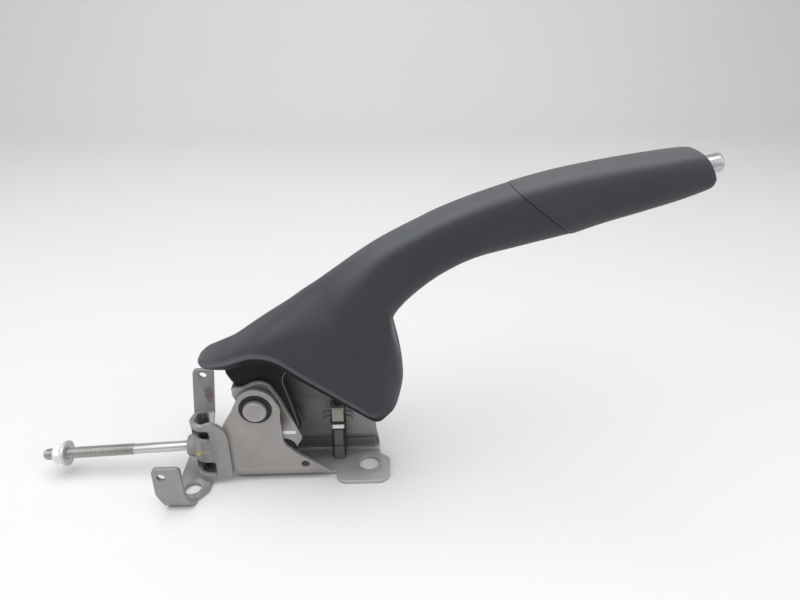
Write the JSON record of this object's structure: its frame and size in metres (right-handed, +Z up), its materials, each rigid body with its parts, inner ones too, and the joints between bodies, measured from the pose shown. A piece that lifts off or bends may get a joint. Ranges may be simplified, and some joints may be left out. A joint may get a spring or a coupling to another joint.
{
  "type": "parking brake lever",
  "caption": "Hand lever for a parking brake: moulded grip and shroud on a steel floor bracket, with ratchet, release button, warning switch and cable adjuster rod.",
  "frame": {"origin": "centre of the front floor bolt hole, on the floor", "axes": "+X towards the grip, +Y towards the ratchet side, +Z up from the floor"},
  "size_m": [0.4397, 0.088, 0.2302],
  "materials": {
    "steel": "dull zinc-plated pressing",
    "dark_steel": "black coated",
    "bright_steel": "bright zinc",
    "hard_steel": "case hardened",
    "bush_plastic": "matt",
    "shroud_plastic": "fine grained",
    "grip_plastic": "soft grained",
    "button_metal": "satin",
    "switch_plastic": "beige grey",
    "connector_plastic": "dark grey",
    "terminal_brass": "plain"
  },
  "bodies": {
    "base": {"near_side_plate": "steel", "far_side_plate": "steel", "rear_bracket": "steel", "rear_strap": "steel", "tie_spacer": "steel", "tie_rivet": "bright_steel", "pivot_pin": "bright_steel", "pivot_bush": "bush_plastic", "pivot_spacer": "bright_steel", "ratchet_sector": "hard_steel", "sector_rivets": "bright_steel", "switch_body": "switch_plastic", "switch_connector": "connector_plastic", "switch_terminals": "terminal_brass"},
    "lever": {"pivot_yoke": "steel", "pivot_sleeve": "bright_steel", "lever_arm": "dark_steel", "lever_tube": "dark_steel", "tube_rivets": "bright_steel", "lower_shroud": "shroud_plastic", "grip_sleeve": "grip_plastic", "button_guide": "bush_plastic", "spring_seat": "dark_steel", "button_spring": "bright_steel", "pawl_pin": "bright_steel", "pawl_pin_clip": "bright_steel"},
    "release_button": {"button": "button_metal", "push_rod": "bright_steel"},
    "pawl": {"pawl": "hard_steel", "pawl_peg": "bright_steel"},
    "plunger": {"switch_plunger": "bush_plastic"},
    "rod": {"trunnion": "bright_steel", "adjuster_rod": "bright_steel"},
    "nut": {"adjuster_nut": "bright_steel"}
  },
  "joints": [
    {"name": "lever_pull", "type": "hinge", "parent": "base", "child": "lever", "pos_m": [-0.0745, 0, 0.062], "axis": [0, -1, 0], "range_deg": [0, 28]},
    {"name": "button_press", "type": "slide", "parent": "lever", "child": "release_button", "axis": [-0.9703, 0, -0.2419], "range_m": [0, 0.005], "stiffness_N_per_m": 1500, "springref_m": -0.004, "deforming": ["button_spring"]},
    {"name": "pawl_swing", "type": "hinge", "parent": "lever", "child": "pawl", "pos_m": [-0.01427, 0, 0.10719], "axis": [0, -1, 0], "range_deg": [0, 18]},
    {"name": "plunger_slide", "type": "slide", "parent": "base", "child": "plunger", "axis": [0, 0, 1], "range_m": [0, 0.003]},
    {"name": "rod_swing", "type": "hinge", "parent": "lever", "child": "rod", "pos_m": [-0.058, 0, 0.026], "axis": [0, -1, 0], "range_deg": [-20, 0]},
    {"name": "nut_turn", "type": "hinge", "parent": "rod", "child": "nut", "pos_m": [-0.22926, 0, 0.01702], "axis": [0.9986, 0, 0.0523], "continuous": true}
  ],
  "couplings": [
    {"joint": "pawl_swing", "follows": "button_press", "rad_per_m": 62.5},
    {"joint": "plunger_slide", "follows": "lever_pull", "m_per_rad": 0.006},
    {"joint": "rod_swing", "follows": "lever_pull", "ratio": -0.708}
  ]
}
